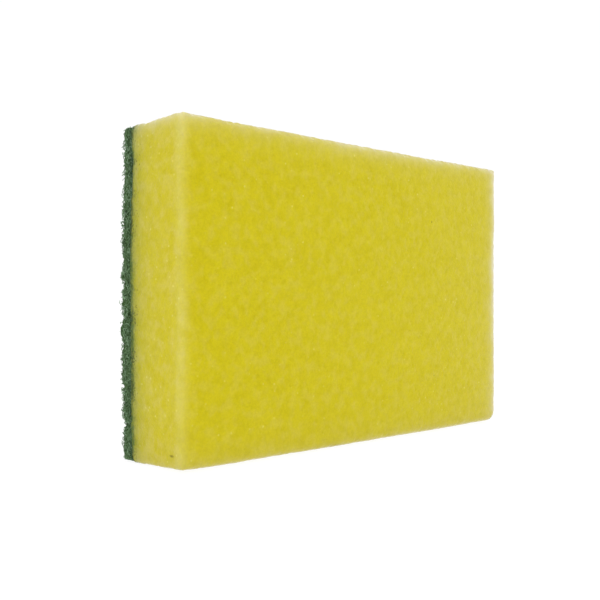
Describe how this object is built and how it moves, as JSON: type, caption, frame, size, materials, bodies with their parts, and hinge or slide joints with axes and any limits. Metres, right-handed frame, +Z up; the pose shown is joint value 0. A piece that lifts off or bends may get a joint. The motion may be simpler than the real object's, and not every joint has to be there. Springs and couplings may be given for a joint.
{
  "type": "cleaning sponge",
  "caption": "Rectangular cleaning sponge: a soft foam block with a coarse fibre scouring pad bonded to one broad face, standing on a long edge.",
  "frame": {"origin": "centre of the footprint, on the surface that the sponge stands on", "axes": "+X along the length, +Y from the foam's wiping face through the block to the pad's scouring face, +Z up, with the sponge standing on a long narrow side"},
  "size_m": [0.141, 0.028, 0.091],
  "materials": {
    "foam": "open-cell flexible foam, sliced faces, fine pores",
    "adhesive": "thin cured adhesive, dull",
    "scouring_web": "crimped nonwoven fibres with gritty resin, matt"
  },
  "bodies": {
    "root": {"foam_block": "foam", "adhesive_film": "adhesive", "scouring_pad": "scouring_web"}
  },
  "joints": []
}
